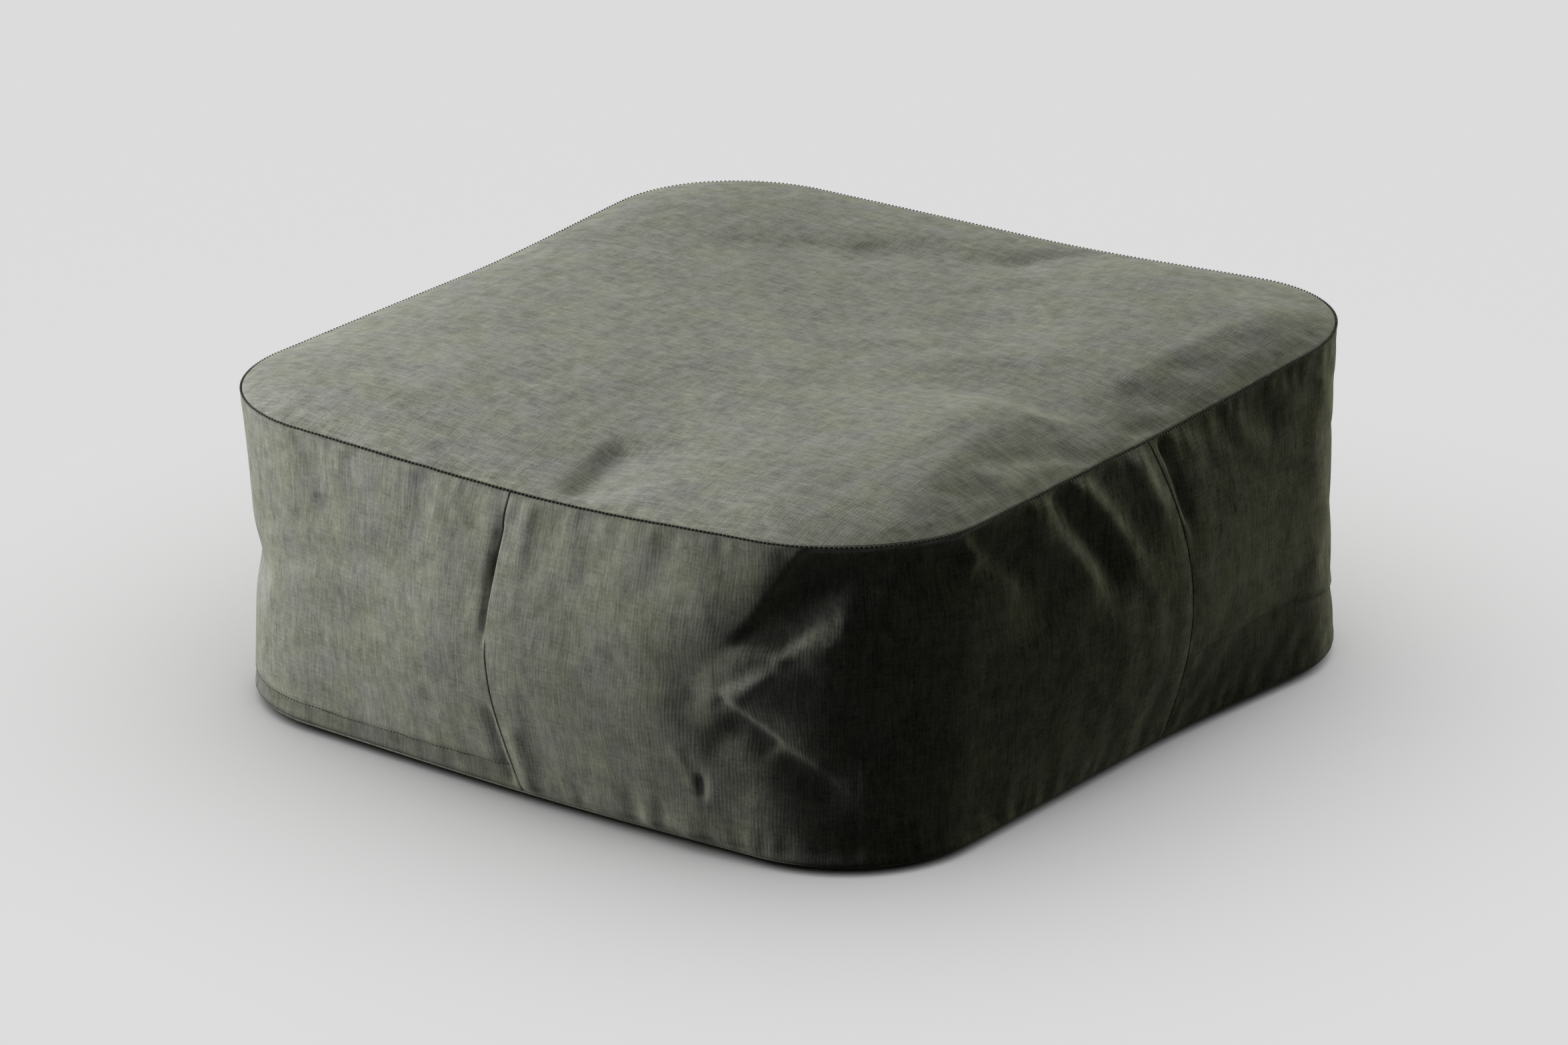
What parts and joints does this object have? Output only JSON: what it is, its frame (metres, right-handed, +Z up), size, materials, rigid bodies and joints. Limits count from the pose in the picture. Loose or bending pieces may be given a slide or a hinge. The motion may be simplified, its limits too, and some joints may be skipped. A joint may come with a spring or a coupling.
{
  "type": "bean bag footstool",
  "caption": "Low square pouf with round corners and a soft filled body, for resting the feet or sitting on.",
  "frame": {"origin": "middle of the underside, on the surface that the stool rests on", "axes": "+Z up, -Y towards the front, +X to the right of it"},
  "size_m": [0.736, 0.737, 0.2948],
  "materials": {
    "top_canvas": "matt grey-green heathered canvas with a fine rib",
    "side_canvas": "matt grey-green heathered canvas, the warp upright",
    "bottom_canvas": "matt grey-green canvas",
    "filling": "matt, soft, wholly under the cover"
  },
  "bodies": {
    "root": {"filled_body": "filling", "top_panel": "top_canvas", "side_panel_front_right": "side_canvas", "side_panel_back_right": "side_canvas", "side_panel_back_left": "side_canvas", "side_panel_front_left": "side_canvas", "bottom_panel": "bottom_canvas"}
  },
  "joints": []
}
